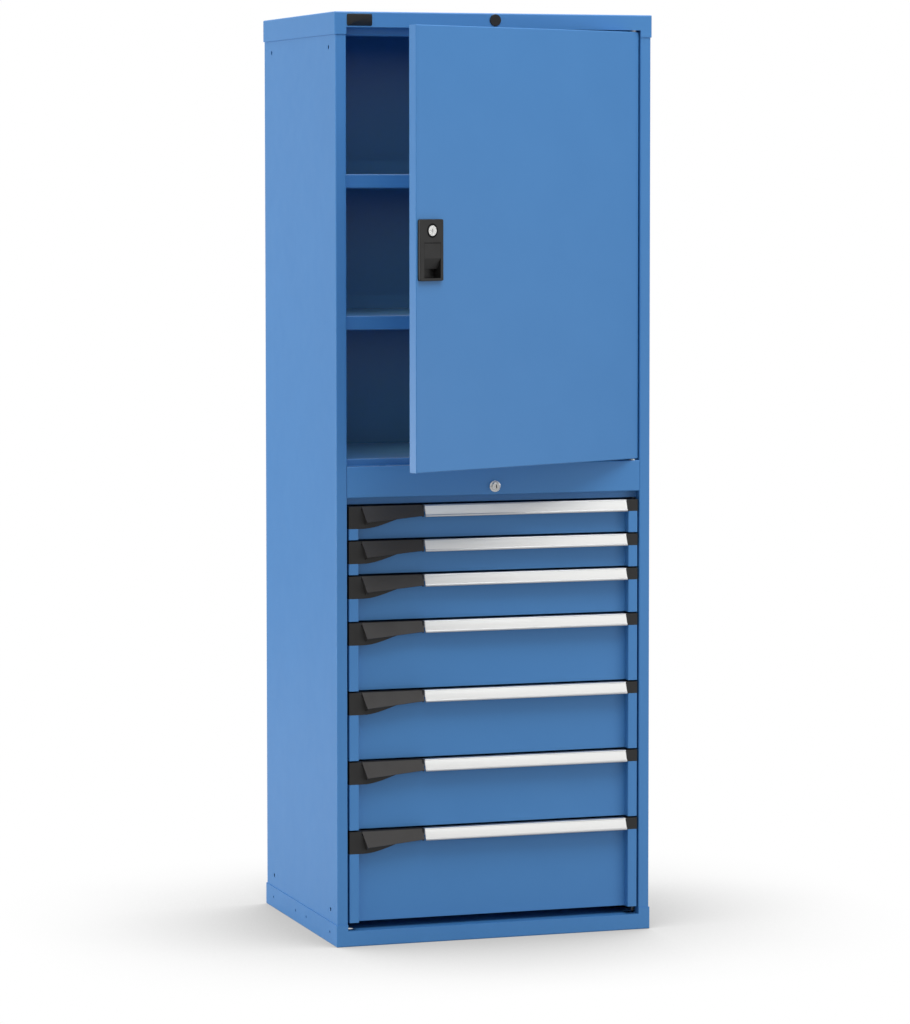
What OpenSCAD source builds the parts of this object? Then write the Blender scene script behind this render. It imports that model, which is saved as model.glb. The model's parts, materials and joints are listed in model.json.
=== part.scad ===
// Tool cabinet in folded sheet steel: one inset door with two shelves over seven drawers.
// X runs to the right, Y to the back, Z up. The origin is the middle of the footprint on the floor.
// The door stands ajar. Everything else is shut, and both locks are open.

/* [Cabinet] */
// Width over the top cap and the base
cabinet_w = 717; // [700:1:740]
// Depth over the top cap and the base
cabinet_d = 572; // [560:1:600]
// Height over all
cabinet_h = 2000; // [1990:1:2060]
// Width of the folded post at each front corner
post_w = 24; // [22:1:26]
// Depth of the skirts at the sides of the cap and the base
skirt_h = 48; // [44:1:52]
// Height of the top cap between the posts
fascia_h = 33; // [30:1:36]
// Height of the base rail between the posts
plinth_h = 34; // [30:1:36]

/* [Sheet steel] */
// Thickness of the panels, the posts, the door and the shelves
sheet = 1.5; // [1.2:0.1:1.5]
// Thickness of the top cap and the base
cap_sheet = 2; // [2:0.1:2.2]
// Inside radius of a bend
bend_r = 1.2; // [0.8:0.1:1.6]

/* [Door] */
// Angle at which the door stands open
door_open = 25.2; // [0:0.1:60]
// Width of the door
door_w = 657; // [650:1:658]
// Thickness of the door
door_t = 22; // [20:1:24]
// Gap over and under the door
door_gap = 3.3; // [3:0.1:4]
// Height of the middle rail between the door and the drawers
rail_h = 67; // [60:1:80]

/* [Shelves] */
// Height of the two shelves over the floor
shelf_levels = [1656, 1354]; // [1100:1:1900]
// Height of a shelf's front lip
shelf_lip = 30; // [25:1:35]

/* [Drawers] */
// Front heights of the drawers, from the top one down
drawer_fronts = [75, 75, 100, 150, 150, 150, 200]; // [75:25:200]
// Height of the top of the highest drawer
drawers_top = 951.5; // [951:0.5:960]
// Inside width of a drawer
tray_w = 612; // [608:1:612]
// Inside depth of a drawer
tray_d = 459; // [430:1:459]
// Thickness of a drawer's sheet
tray_sheet = 1.1; // [1:0.1:1.2]
// How far the front lies behind the posts
front_recess = 20; // [18:1:22]

/* [Handles] */
// Gap over each handle
top_gap = 3.5; // [3:0.1:4]
// Height of the label rail
rail_face_h = 25.5; // [24:0.5:27]
// Lean of the label rail and the lever, outwards at the foot
tilt = 24; // [20:1:26]
// Height of the black housing at the left end of the handle
housing_h = 48; // [44:1:50]
// Left and right ends of the label rail
label_x = [-159.5, 302]; // [-200:0.5:320]
// Where the flat end of the housing stops and the lever starts
lever_x = -301.5; // [-306:0.5:-298]

/* [Locks] */
// Travel of the drawer lock's link and bar in a quarter turn
lock_travel = 8; // [8:1:8]
// Travel of the door's locking rods in a quarter turn
rod_travel = 12; // [10:1:12]

/* [Hidden] */
$fn = 48;

enamel = "#4F84BE";
zinc = "#B9BDC0";
black = "#2D2B2A";
silver = "#C9CCCE";

// Planes that several parts share
front_y = -cabinet_d / 2;                  // front of the cap and the base
back_y = cabinet_d / 2;
side_x = cabinet_w / 2 - cap_sheet;        // outside of the side panels
post_y = front_y + cap_sheet;              // front of the posts, the rail, the door and the drawers
rear_y = back_y - cap_sheet;               // outside of the back panel
post_x = side_x - post_w;                  // inner edge of the posts
post_d = 26;                               // depth of a post
ledge_d = 26;                              // depth of the ledges over and under the door
sill_z = drawers_top + 15 + rail_h;        // top of the middle rail
rail_z = drawers_top + 15;                 // foot of the middle rail
floor_z = sill_z + 15;                     // floor of the door compartment
lintel_z = cabinet_h - fascia_h;           // underside of the cap's front
wall_x = side_x - sheet;                   // inside of the side panels
clear = 0.05;                              // running clearance on the radius

// ---------------------------------------------------------------- sheet metal

// Quarter of a ring
module ring_quarter(inner, outer) {
  intersection() {
    difference() {
      circle(outer);
      circle(inner);
    }
    square(2 * outer);
  }
}

// Turn of a line of points at point i, positive to the left
function turn_at(points, i) =
  let (a = points[i] - points[i - 1], b = points[i + 1] - points[i])
  atan2(a.x * b.y - a.y * b.x, a * b);

// Length that a bend takes from each of its two legs
function setback(turn, t) = (bend_r + (turn > 0 ? t : 0)) * tan(abs(turn) / 2);

// Section of a sheet bent square along a line of corner points. The sheet lies to the left of the line.
module bent(points, t = sheet) {
  last = len(points) - 1;
  for (i = [0 : last - 1]) {
    leg = points[i + 1] - points[i];
    start = i > 0 ? setback(turn_at(points, i), t) : 0;
    turn = i < last - 1 ? turn_at(points, i + 1) : 0;
    end = norm(leg) - setback(turn, t);
    translate(points[i]) rotate(atan2(leg.y, leg.x)) {
      translate([start, 0]) square([end - start, t]);
      if (turn > 0) translate([end, t + bend_r]) rotate(-90) ring_quarter(bend_r, bend_r + t);
      if (turn < 0) translate([end, -bend_r]) ring_quarter(bend_r, bend_r + t);
    }
  }
}

bend_steps = 6;                            // facets of a bend that isn't square

// One side of the bend at point i: the side on the line, or the one across the sheet, run backwards
function bend_side(points, i, t, across) =
  let (
    leg = points[i] - points[i - 1],
    head = atan2(leg.y, leg.x),
    turn = turn_at(points, i),
    out = turn > 0 ? t + bend_r : -bend_r,
    centre = points[i] - setback(turn, t) * leg / norm(leg) + out * [-sin(head), cos(head)],
    r = abs(across ? out - t : out)
  )
  [for (k = across ? [bend_steps : -1 : 0] : [0 : bend_steps])
    let (a = head - sign(turn) * 90 + turn * k / bend_steps) centre + r * [cos(a), sin(a)]];

// The same section with bends at any angle, as one outline
module bent_free(points, t = sheet) {
  last = len(points) - 1;
  lift = [for (leg = [points[1] - points[0], points[last] - points[last - 1]]) t * [-leg.y, leg.x] / norm(leg)];
  polygon(concat(
    [points[0]],
    [for (i = [1 : last - 1]) each bend_side(points, i, t, false)],
    [points[last], points[last] + lift[1]],
    [for (i = [last - 1 : -1 : 1]) each bend_side(points, i, t, true)],
    [points[0] + lift[0]]
  ));
}

// Extrusions of a section drawn in plan, and of one drawn as (y, z) and run along X
module upright_run(z0, z1) {
  translate([0, 0, z0]) linear_extrude(z1 - z0) children();
}

module cross_run(x0, x1) {
  translate([x0, 0, 0]) rotate([90, 0, 90]) linear_extrude(x1 - x0) children();
}

// Section drawn as (x, z) and run along Y
module depth_run(y0, y1) {
  translate([0, y1, 0]) rotate([90, 0, 0]) linear_extrude(y1 - y0) children();
}

// A block given by its two corners
module block(low, high) {
  translate(low) cube(high - low);
}

module rounded_rect(low, high, r) {
  translate(low + [r, 0]) square([high.x - low.x - 2 * r, high.y - low.y]);
  translate(low + [0, r]) square([high.x - low.x, high.y - low.y - 2 * r]);
  for (x = [low.x + r, high.x - r], y = [low.y + r, high.y - r]) translate([x, y]) circle(r);
}

module both_sides() {
  children();
  mirror([1, 0, 0]) children();
}

// Cylinder along Y from y0 to y1
module bar_y(x, z, r, y0, y1) {
  translate([x, y1, z]) rotate([90, 0, 0]) cylinder(h = y1 - y0, r = r);
}

// ---------------------------------------------------------------- carcass

flange_w = 20;                             // rear flange of a side panel
bar_y0 = post_y + post_d + 1;              // front face of the lock bar
bar_t = 3;                                 // thickness of the lock bar
bar_x = 341;                               // centre line of the lock bar
stud_levels = [150, 520, 900];             // shoulder studs that guide the lock bar
side_hole_y = [-233, 221];                 // holes that join cabinets side by side
side_hole_z = [75, 1926];
side_hole_r = 4.5;
skirt_hole_y = [-233, -46, 38, 221];       // screws between the base and the side panels
skirt_hole_z = 26;
skirt_hole_r = 3;

// Holes along X through the walls of both sides
module side_holes(places, levels, r) {
  both_sides() for (y = places, z = levels) translate([wall_x - 5, y, z]) rotate([0, 90, 0]) cylinder(h = 20, r = r);
}

// One sheet, folded into the rear flange, the side wall and the closed front post
module side_wall() {
  color(enamel) difference() {
    upright_run(cap_sheet, cabinet_h - cap_sheet) bent([
      [-side_x + flange_w, rear_y - sheet],
      [-side_x, rear_y - sheet],
      [-side_x, post_y],
      [-post_x, post_y],
      [-post_x, post_y + post_d],
      [-side_x + 4.5, post_y + post_d]
    ]);
    side_holes(side_hole_y, side_hole_z, side_hole_r);
    side_holes(skirt_hole_y, [skirt_hole_z], skirt_hole_r);
  }
}

module left_side_panel() {
  side_wall();
}

module right_side_panel() {
  mirror([1, 0, 0]) side_wall();
  color(zinc) for (z = stud_levels) {
    bar_y(bar_x, z, 2.5, post_y + post_d, bar_y0 + bar_t + 0.5);
    bar_y(bar_x, z, 4.5, bar_y0 + bar_t + 0.5, bar_y0 + bar_t + 2);
  }
}

wall_bolt_x = 300;                         // half spacing of the wall fixing holes
wall_bolt_z = 1900;

module back_panel() {
  inside_r = edge_r - cap_sheet;           // the skirts' inside corners
  color(enamel) difference() {
    block([inside_r - side_x, rear_y - sheet, cap_sheet], [side_x - inside_r, rear_y, cabinet_h - cap_sheet]);
    for (x = [-wall_bolt_x, wall_bolt_x]) bar_y(x, wall_bolt_z, 4.5, rear_y - 5, rear_y + 5);
  }
}

edge_r = 3;                                // rounding of the edges of the cap and the base

// Block with rounded upright edges and rounded upper edges, standing on z = 0
module soft_block(half_w, half_d, h, r) {
  intersection() {
    depth_run(-half_d, half_d) rounded_rect([-half_w, -h], [half_w, h], r);
    cross_run(-half_w, half_w) rounded_rect([-half_d, -h], [half_d, h], r);
    upright_run(0, h) rounded_rect([-half_w, -half_d], [half_w, half_d], r);
  }
}

// Skirted tray, mouth down, with the front cut back between the posts
module skirted_pan(front_h) {
  inner_w = cabinet_w / 2 - cap_sheet;
  inner_d = cabinet_d / 2 - cap_sheet;
  difference() {
    soft_block(cabinet_w / 2, cabinet_d / 2, skirt_h, edge_r);
    upright_run(-1, skirt_h - cap_sheet)
      rounded_rect([-inner_w, -inner_d], [inner_w, inner_d], edge_r - cap_sheet);
    block([-post_x, front_y - 1, -1], [post_x, post_y + 1, skirt_h - front_h]);
  }
}

plug_z = 1985;                             // centre of the hole in the cap's front
plug_r = 11;

module top_cap() {
  color(enamel) difference() {
    union() {
      translate([0, 0, cabinet_h - skirt_h]) skirted_pan(fascia_h);
      // Ledge that the door shuts under, turned up at the back
      cross_run(-post_x, post_x) bent([
        [front_y + cap_sheet / 2, lintel_z],
        [post_y + ledge_d, lintel_z],
        [post_y + ledge_d, cabinet_h - cap_sheet / 2]
      ]);
    }
    bar_y(0, plug_z, plug_r, front_y - 1, post_y + 1);
    pivot_hole(lintel_z);
    rod_hole(lintel_z, top_rod_y);
  }
}

foot_w = 45;                               // width of the flange that the cabinet stands on
bolt_x = 322;                              // half spacings of the floor fixing holes
bolt_y = 248;
bolt_r = 5.5;
reach_r = 12;                              // holes in the pan over the front fixings, for a socket
dot_x = 39.5;                              // half spacing of the small holes in the base rail

module base_plinth() {
  color(enamel) difference() {
    union() {
      difference() {
        translate([0, 0, skirt_h]) mirror([0, 0, 1]) skirted_pan(plinth_h);
        block([foot_w - side_x, post_y + foot_w, -1], [side_x - foot_w, rear_y - foot_w, cap_sheet + 1]);
      }
      // Top of the front rail and floor pan, turned down at the back
      cross_run(-post_x, post_x) bent([
        [rear_y - 60, 8], [rear_y - 60, plinth_h], [front_y + cap_sheet / 2, plinth_h]
      ]);
    }
    for (x = [-bolt_x, bolt_x]) {
      for (y = [-bolt_y, bolt_y]) translate([x, y, -1]) cylinder(h = 10, r = bolt_r);
      translate([x, -bolt_y, plinth_h - 5]) cylinder(h = 10, r = reach_r);
    }
    for (x = [-dot_x, dot_x]) translate([x, post_y + 5, plinth_h - 4]) cylinder(h = 8, r = 2.5);
    side_holes(skirt_hole_y, [skirt_hole_z], skirt_hole_r);
  }
}

floor_back = 234;                          // rear edge of the compartment floor
upright_y = [-240, 160];                   // front faces of the slotted uprights
upright_w = 40;
lock_z = 984.5;                            // centre of the drawer lock
barrel_r = 10;

module divider() {
  strip_y = post_y + post_d + 1;
  color(enamel) difference() {
    union() {
      // Floor, step, sill, middle rail and the ledge under it
      cross_run(-post_x, post_x) bent([
        [floor_back, floor_z - 25],
        [floor_back, floor_z],
        [post_y + ledge_d, floor_z],
        [post_y + ledge_d, sill_z],
        [post_y, sill_z],
        [post_y, rail_z],
        [post_y + front_recess, rail_z],
        [post_y + front_recess, drawers_top]
      ]);
      both_sides() block([post_x, strip_y, floor_z - sheet], [wall_x, floor_back, floor_z]);
    }
    // The recessed rail over the drawers stops short of the posts
    for (side = [-1, 1]) translate([side * (post_x + 308) / 2, 0, rail_z - 20])
      cube([post_x - 308 + 0.1, cabinet_d, 40], center = true);
    for (side = [-1, 1], y = upright_y)
      translate([side * (post_x + wall_x) / 2, y + upright_w / 2, floor_z])
        cube([wall_x - post_x + 1, upright_w + 0.2, 20], center = true);
    bar_y(0, lock_z, barrel_r, post_y - 1, post_y + 5);
    pivot_hole(sill_z);
    rod_hole(sill_z, bottom_rod_y);
  }
}

header_z = 1950;                           // foot of the door stop under the cap
header_back = -215;

module door_header() {
  color(enamel) cross_run(-post_x, post_x) bent([
    [post_y + ledge_d, lintel_z + 12],
    [post_y + ledge_d, header_z],
    [header_back, header_z],
    [header_back, cabinet_h - cap_sheet]
  ]);
}

// ---------------------------------------------------------------- shelves

shelf_x = 331;                             // half width of a shelf
shelf_front = -256;
shelf_back = 219;
rear_lip = 29;
end_flange = 25;
clip_w = 24;

module shelf(z) {
  color(enamel) difference() {
    union() {
      cross_run(-shelf_x, shelf_x) bent([
        [shelf_back, z + rear_lip],
        [shelf_back, z],
        [shelf_front, z],
        [shelf_front, z - shelf_lip],
        [shelf_front + 12, z - shelf_lip]
      ]);
      for (side = [-1, 1]) translate([side * (shelf_x - sheet / 2), (shelf_front + shelf_back) / 2, z - end_flange / 2])
        cube([sheet, shelf_back - shelf_front - 4, end_flange], center = true);
    }
    for (side = [-1, 1], y = upright_y)
      translate([side * shelf_x, y + upright_w / 2, z - sheet - end_flange / 2])
        cube([20, clip_w + 2, end_flange], center = true);
  }
}

module upper_shelf() {
  shelf(shelf_levels[0]);
}

module lower_shelf() {
  shelf(shelf_levels[1]);
}

slot_first = 89;                           // foot of the lowest slot over the floor
slot_pitch = 50;
slot_h = 14;

module upright(y) {
  difference() {
    upright_run(plinth_h, cabinet_h - cap_sheet) bent([
      [wall_x, y + upright_w], [post_x, y + upright_w], [post_x, y], [wall_x, y]
    ]);
    for (z = [slot_first : slot_pitch : cabinet_h - 40])
      translate([post_x - 1, y + upright_w / 2 - 2.5, z]) cube([5, 5, slot_h]);
  }
}

module uprights() {
  color(zinc) both_sides() for (y = upright_y) upright(y);
}

module shelf_clips() {
  color(zinc) both_sides() for (z = shelf_levels, y = upright_y) cross_clip(z - sheet, y + upright_w / 2);
}

// Angle clip: a tongue under the shelf, a plate against the upright and a hook through its slot
module cross_clip(z, y) {
  hook_x = post_x + sheet + 0.2;
  depth_run(y - clip_w / 2, y + clip_w / 2)
    bent([[post_x, z - 22], [post_x, z], [post_x - 16, z]], 2);
  depth_run(y - 1.2, y + 1.2) polygon([
    [post_x - 1, z - 13], [post_x - 1, z - 4.5], [hook_x + 2, z - 4.5],
    [hook_x + 2, z - 21], [hook_x, z - 21], [hook_x, z - 13]
  ]);
}

// ---------------------------------------------------------------- drawer runners

drawer_n = len(drawer_fronts);
function top_of(n) = drawers_top - (n > 1 ? sum_to(n - 2) : 0);
function sum_to(i) = i < 0 ? 0 : drawer_fronts[i] + sum_to(i - 1);
function foot_of(n) = top_of(n) - drawer_fronts[n - 1];
function runner_z(n) = foot_of(n) + 26;    // centre line of a drawer's runners

runner_y = [-240, 200];                    // ends of the fixed and the middle rails
outer_h = 16;                              // half height of the fixed rail
middle_h = 11.5;                           // half height of the middle rail
inner_h = 7.5;                             // half height of the rail on the drawer
rail_t = 2;
middle_x = post_x - 4;                     // outside of the middle rail
tray_x = tray_w / 2 + tray_sheet;          // outside of a drawer's side wall
glide = 2.2;                               // height of the glide strips between the rails

module runner_rails() {
  color(zinc) both_sides() for (n = [1 : drawer_n])
    depth_run(runner_y[0], runner_y[1]) translate([0, runner_z(n)]) bent([
      [post_x - 12, -outer_h], [post_x, -outer_h], [post_x, outer_h], [post_x - 12, outer_h]
    ], rail_t);
}

module slides(n) {
  color(zinc) both_sides() translate([0, 0, runner_z(n)]) {
    depth_run(runner_y[0], runner_y[1]) bent([
      [middle_x - 14.5, -middle_h], [middle_x, -middle_h], [middle_x, middle_h], [middle_x - 14.5, middle_h]
    ]);
    for (y = [runner_y[0] + 4, -35, runner_y[1] - 44], s = [-1, 1]) {
      low = s > 0 ? 0 : -glide;
      translate([middle_x - 7.5, y, s * middle_h + low]) cube([6, 40, glide]);
      translate([middle_x - 13.5, y, s * (middle_h - sheet) - glide - low]) cube([6, 40, glide]);
    }
  }
}

// ---------------------------------------------------------------- drawers

panel_y = post_y + front_recess;           // front of a drawer's recessed panel
strip_x = post_x - 4;                      // outer edge of a drawer's front
tray_back = panel_y + tray_d + 2 * tray_sheet;
unit = 17;                                 // grid that the drawers are divided by
slot_step = 3 * unit;                      // spacing of the slots for dividers in the walls
divider_slot_w = 3;
floor_lift = 6;                            // drawer floor over the foot of its front
wall_drop = 14;                            // top of a drawer's walls under its top line
catch_up = 49;                             // lower end of a drawer's catch over its foot
blade_y = bar_y0 + bar_t + 2;

function handle_top(n) = top_of(n) - top_gap;

// Folded strip at one side of the front
module front_strip(z0, z1) {
  upright_run(z0, z1) bent([
    [tray_x, panel_y + tray_sheet], [tray_x, post_y], [strip_x, post_y],
    [strip_x, panel_y - 2], [strip_x - 8, panel_y - 2]
  ], tray_sheet);
}

// Length of the slots, which start 8 mm under the rim and end over the rails
function divider_slot_h(n) = top_of(n) - wall_drop - runner_z(n) - middle_h;

// Slot in a wall, from its foot up to 8 mm under the rim
module slot_cut(w, d, h) {
  translate([-w / 2, -d / 2, 0]) cube([w, d, h - 8]);
}

module tray(n) {
  foot = foot_of(n);
  floor_low = foot + floor_lift;
  wall_top = top_of(n) - wall_drop;
  hook = foot + catch_up;
  color(enamel) {
    difference() {
      union() {
        upright_run(floor_low, wall_top)
          rounded_rect([-tray_x, panel_y], [tray_x, tray_back], 2);
        block([-tray_x, panel_y, foot], [tray_x, panel_y + tray_sheet, handle_top(n) - 2]);
      }
      upright_run(floor_low + tray_sheet, cabinet_h)
        rounded_rect([-tray_w / 2, panel_y + tray_sheet], [tray_w / 2, tray_back - tray_sheet], 0.9);
      // Slots for dividers, over the rails in the side walls and down the back wall
      for (y = [panel_y + slot_step : slot_step : tray_back - slot_step / 2])
        translate([0, y, wall_top - divider_slot_h(n)]) slot_cut(2 * tray_x + 2, divider_slot_w, divider_slot_h(n));
      for (x = [-5.5 : 5.5]) translate([x * slot_step, tray_back, wall_top - divider_slot_h(n)])
        slot_cut(divider_slot_w, 8, divider_slot_h(n));
    }
    front_strip(foot, handle_top(n) - rail_face_h);
    mirror([1, 0, 0]) front_strip(foot, handle_top(n) - housing_h);
    // Rails on the side walls
    both_sides() depth_run(panel_y + 4, tray_back - 8) translate([0, runner_z(n)]) bent([
      [tray_x + 14, inner_h], [tray_x, inner_h], [tray_x, -inner_h], [tray_x + 14, -inner_h]
    ]);
  }
  // Catch for the central lock
  color(zinc) {
    block([tray_x, panel_y + 2, hook + 9], [strip_x - 2.5, blade_y + sheet, hook + 9 + sheet]);
    block([strip_x - 10.5, blade_y, hook], [strip_x - 2.5, blade_y + sheet, hook + 9 + sheet]);
  }
}

// Extruded profile of the label rail. Its face leans out at the foot and ends in a round nose.
// Lips over and under the face hold the label card.
face_t = 2.4;                              // thickness of the face
nose_r = 2.6;
lip_t = 0.6;                               // thickness of the lips that hold the label card
lip_w = [1.4, 1.2];                        // how far the upper and the lower lip reach
lip_wall = 0.8;                            // metal over and under the card
card_t = 0.8;                              // room for the card behind the lips
face_l = (rail_face_h - nose_r * (1 + sin(tilt))) / cos(tilt);

module label_rail(n) {
  z = handle_top(n);
  color(silver) cross_run(label_x[0], label_x[1]) difference() {
    union() {
      bent([[panel_y, z - 16], [panel_y, z], [post_y, z]], 2);
      rail_slope(z) {
        square([face_l, face_t]);
        translate([face_l, nose_r]) circle(nose_r);
      }
    }
    rail_slope(z) {
      translate([lip_wall, lip_t]) square([face_l - 2 * lip_wall, card_t]);
      translate([lip_wall + lip_w[0], -1]) square([face_l - 2 * lip_wall - lip_w[0] - lip_w[1], 2]);
    }
  }
}

// Turns (distance down the face, depth behind it) into the section of a rail whose top is at z
module rail_slope(z) {
  translate([post_y, z]) rotate(-90 - tilt) children();
}

end_gap = 1.5;                             // gap at each end of the lever and the label rail
curve_x = [lever_x + 3, -174];             // where the housing's lower edge curves up
curve_h = 21;                              // height of the housing beside the label rail
curve_n = 14;
hinge_y = post_y + 3;                      // axis of the lever, seen from the side
hinge_drop = 4;
pin_r = 1.5;
groove = 4.5;                              // room round the lever's barrel
ear = 3;

// Lower edge of the housing: a smooth S from its full height up to the label rail
function curve_z(t) = -housing_h + (housing_h - curve_h) * (1 - cos(180 * t)) / 2;

module housing_outline() {
  right = label_x[0] - end_gap;
  polygon(concat(
    [[-strip_x, 0], [-strip_x, -housing_h]],
    [for (i = [0 : curve_n]) [curve_x[0] + (curve_x[1] - curve_x[0]) * i / curve_n, curve_z(i / curve_n)]],
    [[right, -curve_h], [right, 0]]
  ));
}

module handle_caps(n) {
  z = handle_top(n);
  right = label_x[0] - end_gap;
  color(black) {
    difference() {
      translate([0, 0, z]) depth_run(post_y, panel_y) housing_outline();
      block([lever_x, post_y - 1, z - hinge_drop - groove], [right - ear, hinge_y + groove, z + 1]);
      translate([lever_x - 5, hinge_y, z - hinge_drop]) rotate([0, 90, 0])
        cylinder(h = right - lever_x + 10, r = pin_r + clear);
    }
    block([label_x[1] + end_gap, post_y, z - rail_face_h], [strip_x, panel_y, z]);
  }
}

lever_h = [33.5, 22];                      // height of the lever at its left and right ends
lever_slant = 9;                           // lean of its left end
wing_t = 2.5;
barrel_rod = 2.2;

module lever(n) {
  z = handle_top(n);
  left = lever_x + 0.8;
  right = label_x[0] - 2 * end_gap;
  fall = [for (h = lever_h) -h / cos(tilt)];
  notch = [right - ear, -(hinge_drop + groove + 1) / cos(tilt)];   // clears the housing's right ear
  color(black) {
    translate([0, post_y, z]) rotate([90 - tilt, 0, 0]) translate([0, 0, -wing_t]) linear_extrude(wing_t)
      polygon([
        [left, 0], [left + lever_slant, fall[0]], [right, fall[1]], [right, notch.y], notch, [notch.x, 0]
      ]);
    // Cheeks that close the two ends against the housing
    intersection() {
      translate([0, post_y, z]) rotate([90 - tilt, 0, 0]) translate([0, 0, -20]) linear_extrude(20) {
        polygon([[left, 0], [left + lever_slant, fall[0]], [left + lever_slant + 2, fall[0]], [left + 2, 0]]);
        polygon([[right - 2, notch.y], [right - 2, fall[1]], [right, fall[1]], [right, notch.y]]);
      }
      block([left - 1, post_y - 30, z - 50], [right + 1, post_y - 0.4, z]);
    }
    // Hinge barrel and its pins
    translate([left, hinge_y, z - hinge_drop]) rotate([0, 90, 0])
      cylinder(h = right - ear - left - 1, r = barrel_rod);
    translate([left - 3.5, hinge_y, z - hinge_drop]) rotate([0, 90, 0])
      cylinder(h = right - left + 3.5, r = pin_r);
    block([left, post_y + 0.2, z - hinge_drop - 1], [right - ear - 1, hinge_y, z - hinge_drop + 1]);
  }
}

// ---------------------------------------------------------------- central drawer lock

crank_r = lock_travel / 2 / sin(45);       // crank of the drawer lock
link_y = bar_y0 + bar_t + 1;               // front face of the link
link_t = 2.5;
cam_pin_r = 2;
cam_slack = 0.3;
bar_pin = [bar_x, lock_z + 4.5];           // pin that lifts the bar
bar_w = 12;

lock_out = 11.5;                           // how far the lock stands out of the rail
plug_hole_r = 6.4;
// Half section of the barrel in front of the rail: a flange with a rounded rim, and a boss
lock_flange = [
  [0, 0], [12.5, 0], [12.5, 1.2], [12.2, 2.2], [11.4, 2.9], [10.4, 3.1], [9.2, 2.6], [8.6, 2.6],
  [8.6, lock_out - 0.8], [7.8, lock_out], [0, lock_out]
];

module drawer_lock_barrel() {
  color(silver) difference() {
    union() {
      bar_y(0, lock_z, barrel_r, post_y, post_y + 20);
      translate([0, post_y, lock_z]) rotate([90, 0, 0]) rotate_extrude() polygon(lock_flange);
    }
    bar_y(0, lock_z, plug_hole_r, post_y - lock_out - 1, post_y + 21);
  }
}

module drawer_lock_plug() {
  color(silver) difference() {
    union() {
      bar_y(0, lock_z, plug_hole_r - clear, post_y - lock_out + 0.6, post_y + 20);
      bar_y(0, lock_z, 4, post_y + 20, link_y - 4);
      bar_y(0, lock_z, 9, link_y - 4, link_y - 1);
      bar_y(-crank_r * sin(45), lock_z + crank_r * cos(45), cam_pin_r, link_y - 1, link_y + link_t + 1);
    }
    // Keyhole
    block([-0.9, post_y - lock_out - 1, lock_z - 4], [0.9, post_y + 6, lock_z + 4]);
    bar_y(0, lock_z - 1, 1.7, post_y - lock_out - 1, post_y + 6);
  }
}

// Slot between two points, drawn as (x, z)
module slot(a, b, r) {
  head = atan2(b.y - a.y, b.x - a.x);
  half_turn = [-90 : 10 : 90];
  polygon(concat(
    [for (t = half_turn) b + r * [cos(head + t), sin(head + t)]],
    [for (t = half_turn) a - r * [cos(head + t), sin(head + t)]]
  ));
}

module lock_link() {
  r = cam_pin_r + cam_slack;
  pin_x = -crank_r * sin(45);
  pin_low = lock_z + crank_r * cos(45);
  lift_r = 3 + cam_slack;
  color(zinc) depth_run(link_y, link_y + link_t) difference() {
    union() {
      translate([-12, lock_z - 1]) square([18, 14]);
      translate([-12, lock_z]) square([bar_x - 5, 11]);
      translate([bar_x - 19, lock_z - 1]) square([24.3, 20]);
    }
    slot([pin_x, pin_low - 0.3], [pin_x, lock_z + crank_r + 0.3], r);
    slot(bar_pin + [0.7, -0.7], bar_pin + [-lock_travel - 0.7, lock_travel + 0.7], lift_r);
  }
}

module lock_bar() {
  color(zinc) {
    depth_run(bar_y0, bar_y0 + bar_t) difference() {
      union() {
        translate([bar_x - bar_w / 2, 60]) square([bar_w, bar_pin.y + 6 - 60]);
        for (n = [1 : drawer_n])
          translate([strip_x - 10.5, foot_of(n) + catch_up - 7.5]) square([bar_x - strip_x + 10.5, 6]);
      }
      for (z = stud_levels) slot([bar_x, z - lock_travel - 0.5], [bar_x, z + 0.5], 2.8);
    }
    bar_y(bar_pin.x, bar_pin.y, 3, bar_y0 + bar_t, link_y + link_t + 1);
  }
}

module cap_hole_plug() {
  color(black) {
    bar_y(0, plug_z, plug_r, front_y, post_y + 4);
    translate([0, front_y, plug_z]) rotate([90, 0, 0]) cylinder(h = 2, r1 = 13, r2 = 12);
  }
}

// ---------------------------------------------------------------- door

door_x = door_w / 2;
door_z = [sill_z + door_gap, lintel_z - door_gap];
door_back = post_y + door_t;
pivot = [door_x - 10, post_y + 8];
pivot_r = 4;
collar_h = 2.8;
lip = 12;                                  // return lip round the back of the door
door_edge_r = 2;

module pivot_hole(z) {
  translate([pivot.x, pivot.y, z - 5]) cylinder(h = 10, r = pivot_r);
}

module door_pivot_pins() {
  color(silver) {
    translate([pivot.x, pivot.y, sill_z - 5]) cylinder(h = 19, r = pivot_r);
    translate([pivot.x, pivot.y, sill_z]) cylinder(h = collar_h, r = 7);
    translate([pivot.x, pivot.y, lintel_z - 14]) cylinder(h = 19, r = pivot_r);
    translate([pivot.x, pivot.y, lintel_z - collar_h]) cylinder(h = collar_h, r = 7);
  }
}

// Everything on the door is drawn shut and swung open about the pivot
module swung() {
  translate([pivot.x, pivot.y, 0]) rotate(door_open) translate([-pivot.x, -pivot.y, 0]) children();
}

// Handle, measured on the shut door
handle_x = [-door_x + 4, -door_x + 70];
handle_z = [1435, 1563];
handle_y = post_y - 8;                     // front face
cup_x = [-door_x + 15, -door_x + 62];
cup_z = [1440.6, 1514.4];
cup_back = post_y + 16;
wall = 2;
key_x = -door_x + 38.4;                    // door lock
key_z = 1539.4;
key_r = 10.9;
key_back = post_y + 7;
rod_x = handle_x[1] + 4;                   // left edge of the locking rods
rod_w = 10;
rod_t = 2.5;
top_rod_y = post_y + 10;
bottom_rod_y = post_y + 13.5;
rod_crank = rod_travel / 2 / sin(45);

module rod_hole(z, y) {
  block([rod_x - 3, y - 3, z - 5], [rod_x + rod_w + 3, y + rod_t + 3, z + 5]);
}

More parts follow.
